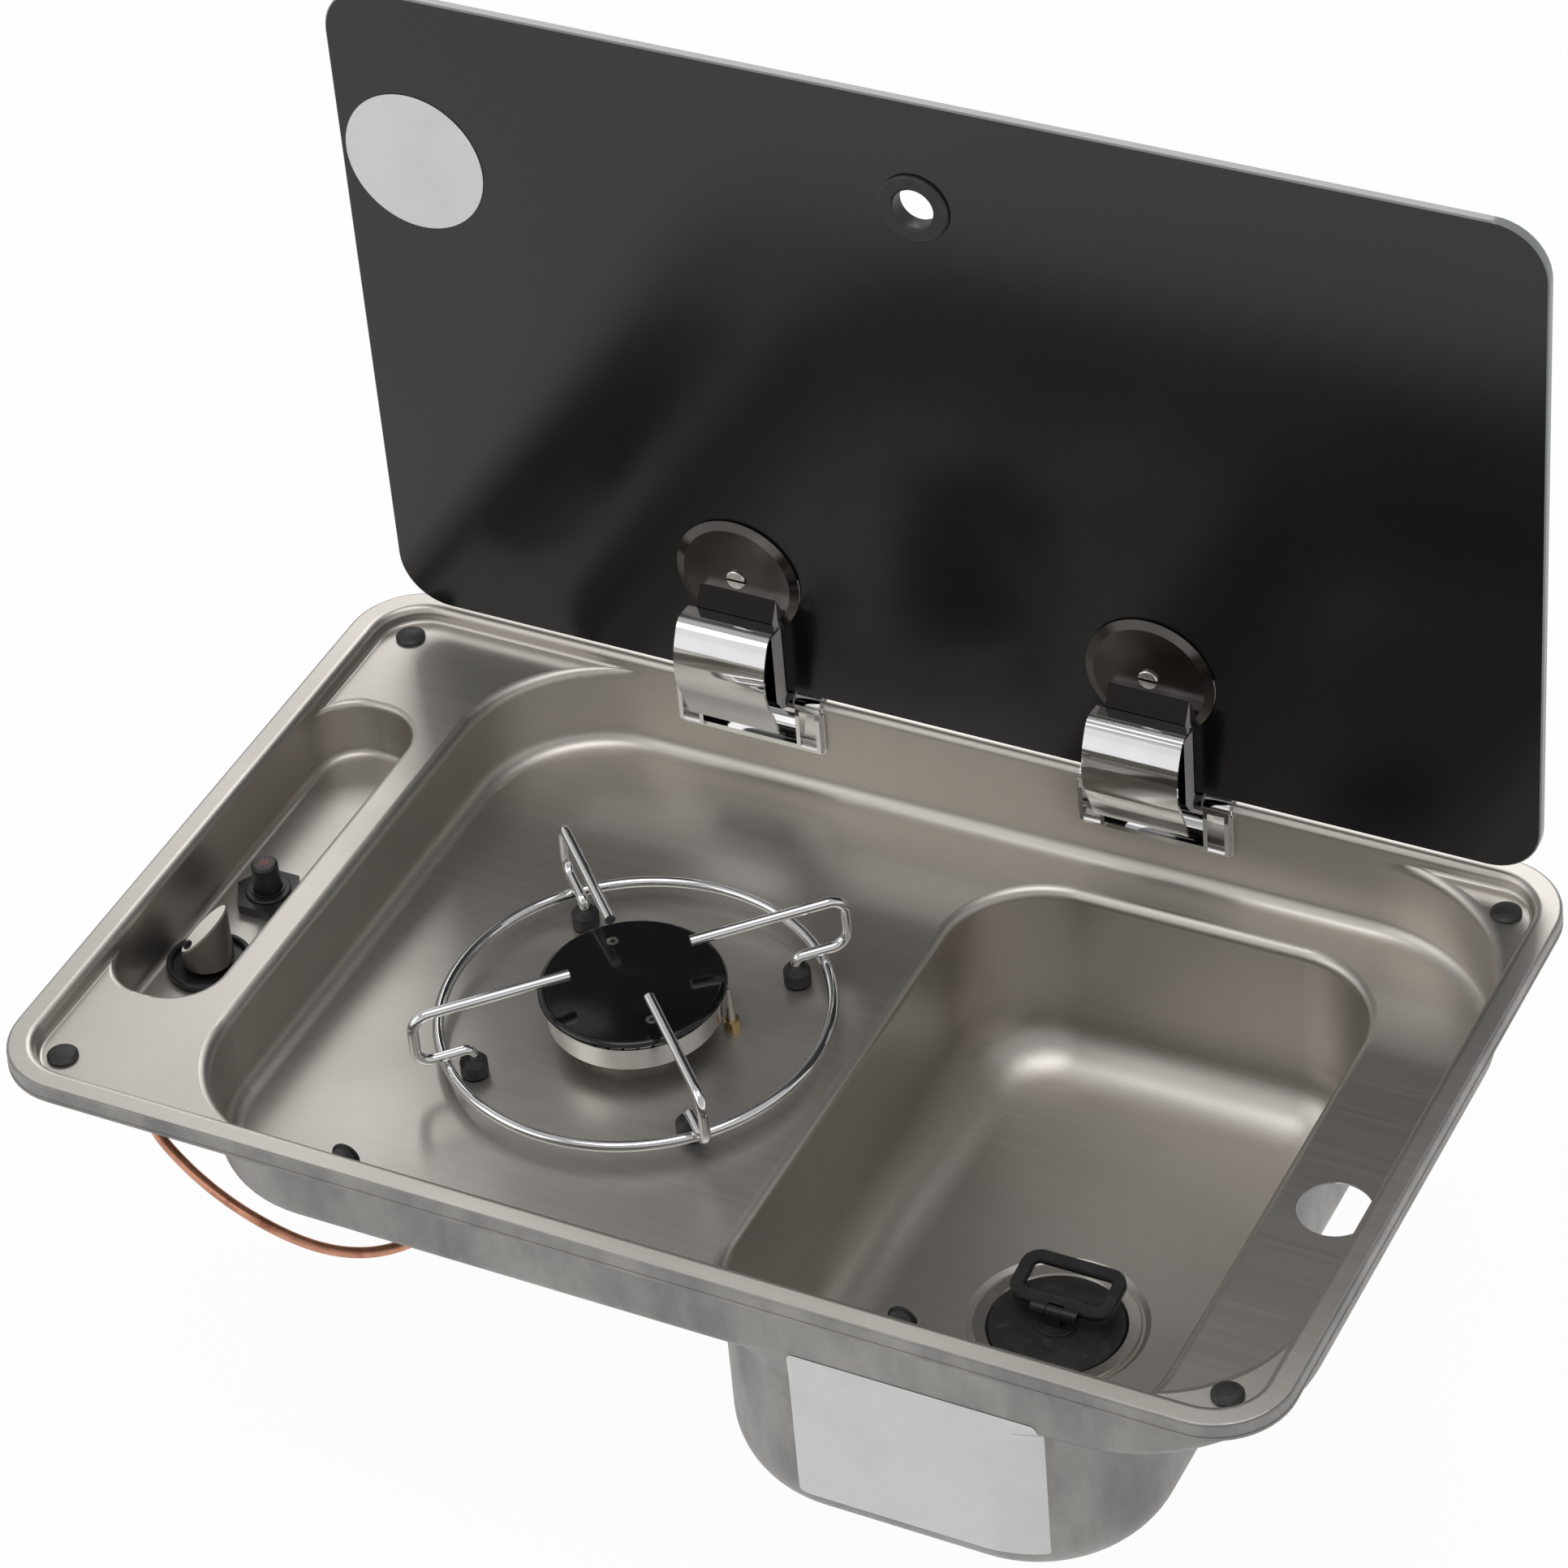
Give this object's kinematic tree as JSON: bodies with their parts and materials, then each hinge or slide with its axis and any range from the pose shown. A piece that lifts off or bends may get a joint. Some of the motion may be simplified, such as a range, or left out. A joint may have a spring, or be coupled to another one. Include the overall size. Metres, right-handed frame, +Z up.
{
  "type": "hob and sink unit",
  "caption": "Pressed steel drop-in unit with a gas burner under a wire pan support, a sink bowl with a plug, a control recess and a hinged smoked glass lid.",
  "frame": {"origin": "centre of the plane on which the rim's lip rests, in the middle of the rim", "axes": "+X to the right along the length, +Y to the back where the lid is hinged, +Z up out of the worktop; the lid stands open"},
  "size_m": [0.6006, 0.3706, 0.5474],
  "materials": {
    "pressed_steel": "satin stainless steel sheet",
    "chrome": "bright chrome plate",
    "dark_chrome": "darker polished metal",
    "steel": "plain machined or turned steel",
    "smoked_glass": "smoked toughened glass",
    "black_rubber": "soft black rubber",
    "black_plastic": "semi-gloss black plastic",
    "knob_grey": "satin grey-bronze lacquer",
    "enamel": "glossy black vitreous enamel",
    "aluminium": "turned aluminium",
    "brass": "machined brass",
    "copper": "bare copper tube",
    "ceramic": "white glazed ceramic",
    "waste_plastic": "white moulded plastic"
  },
  "bodies": {
    "tray": {"tray_pressing": "pressed_steel", "bowl_pressing": "pressed_steel", "lid_bumper": "black_rubber", "wall_stud": "black_rubber", "hinge_base": "chrome", "hinge_pin": "steel", "burner_cap": "enamel", "burner_head": "aluminium", "injector_holder": "aluminium", "gas_jet": "brass", "burner_screw": "steel", "thermocouple": "brass", "spark_electrode": "ceramic", "pan_support": "chrome", "support_foot": "black_rubber", "knob_bezel": "black_plastic", "gas_tap": "brass", "igniter_nut": "black_plastic", "igniter_body": "black_plastic", "burner_pipe": "copper", "pipe_nut": "brass", "waste_flange": "steel", "waste_seal": "black_rubber", "waste_cup": "waste_plastic", "waste_screw": "steel"},
    "lid": {"lid_glass": "smoked_glass", "lid_grommet": "black_rubber", "hinge_arm": "dark_chrome", "hinge_cover": "chrome", "hinge_screw": "steel", "hinge_cap": "chrome", "hinge_pad": "black_rubber"},
    "tap_core": {"tap_plug": "brass"},
    "knob": {"gas_knob": "knob_grey", "tap_spindle": "steel"},
    "igniter_push": {"igniter_button": "black_plastic"},
    "stopper": {"waste_plug": "black_rubber"},
    "stopper_handle": {"plug_handle": "black_plastic", "plug_pin": "steel"}
  },
  "joints": [
    {"name": "lid_hinge", "type": "hinge", "parent": "tray", "child": "lid", "pos_m": [0, 0.1748, 0.0062], "axis": [1, 0, 0], "range_deg": [0, 90]},
    {"name": "knob_turn", "type": "hinge", "parent": "tray", "child": "tap_core", "pos_m": [-0.265, -0.053, -0.046], "axis": [0, 0, 1], "range_deg": [0, 200]},
    {"name": "knob_push", "type": "slide", "parent": "tap_core", "child": "knob", "axis": [0, 0, -1], "range_m": [0, 0.0032], "stiffness_N_per_m": 1500, "springref_m": -0.001},
    {"name": "igniter_press", "type": "slide", "parent": "tray", "child": "igniter_push", "axis": [0, 0, -1], "range_m": [0, 0.0035], "stiffness_N_per_m": 1000, "springref_m": -0.001},
    {"name": "plug_lift", "type": "slide", "parent": "tray", "child": "stopper", "axis": [0, 0, 1], "range_m": [0, 0.06]},
    {"name": "plug_handle_turn", "type": "hinge", "parent": "stopper", "child": "stopper_handle", "pos_m": [0.1329, -0.0237, -0.1284], "axis": [1, 0, 0], "range_deg": [0, 80]}
  ]
}
